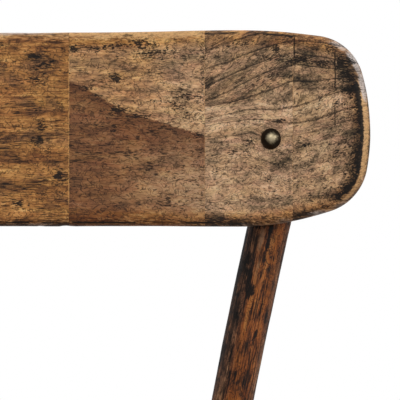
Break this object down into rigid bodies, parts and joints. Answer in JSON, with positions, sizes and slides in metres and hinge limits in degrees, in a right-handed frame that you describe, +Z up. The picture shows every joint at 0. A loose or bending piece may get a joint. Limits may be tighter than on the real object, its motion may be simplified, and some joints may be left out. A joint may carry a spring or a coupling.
{
  "type": "wooden chair",
  "caption": "Wooden side chair with a curved, glued-up backrest bolted to bent round posts, a dished seat and splayed turned legs.",
  "frame": {"origin": "floor level under the middle of the chair's box", "axes": "+Z up from the floor, -Y the way the sitter faces, +X to the right of a viewer in front of the chair"},
  "size_m": [0.4252, 0.4689, 0.8129],
  "materials": {
    "back_wood": "reclaimed hardwood staves, waxed, satin, with dark stains and worn pale edges",
    "seat_wood": "reclaimed hardwood staves, waxed, satin",
    "stick_wood": "dark streaky hardwood, oiled, satin",
    "wedge_wood": "pale hardwood end grain, waxed",
    "antique_brass": "antique brass, dark patina, rubbed bright on top",
    "nail_steel": "plain drawn steel",
    "glide_plastic": "dark brown moulded nylon"
  },
  "bodies": {
    "root": {"back_post_left": "stick_wood", "back_post_right": "stick_wood", "back_stave_1": "back_wood", "back_stave_2": "back_wood", "back_stave_3": "back_wood", "back_stave_4": "back_wood", "back_stave_5": "back_wood", "back_stave_6": "back_wood", "back_stave_7": "back_wood", "bolt_washers": "antique_brass", "cap_nuts": "antique_brass", "dome_bolts": "antique_brass", "foot_glides": "glide_plastic", "front_leg_left": "stick_wood", "front_leg_right": "stick_wood", "glide_nails": "nail_steel", "leg_wedges": "wedge_wood", "post_wedges": "wedge_wood", "rear_leg_left": "stick_wood", "rear_leg_right": "stick_wood", "seat_stave_1": "seat_wood", "seat_stave_2": "seat_wood", "seat_stave_3": "seat_wood", "seat_stave_4": "seat_wood", "seat_stave_5": "seat_wood", "seat_stave_6": "seat_wood", "seat_stave_7": "seat_wood", "stretcher_front": "stick_wood", "stretcher_left": "stick_wood", "stretcher_rear": "stick_wood", "stretcher_right": "stick_wood"}
  },
  "joints": []
}
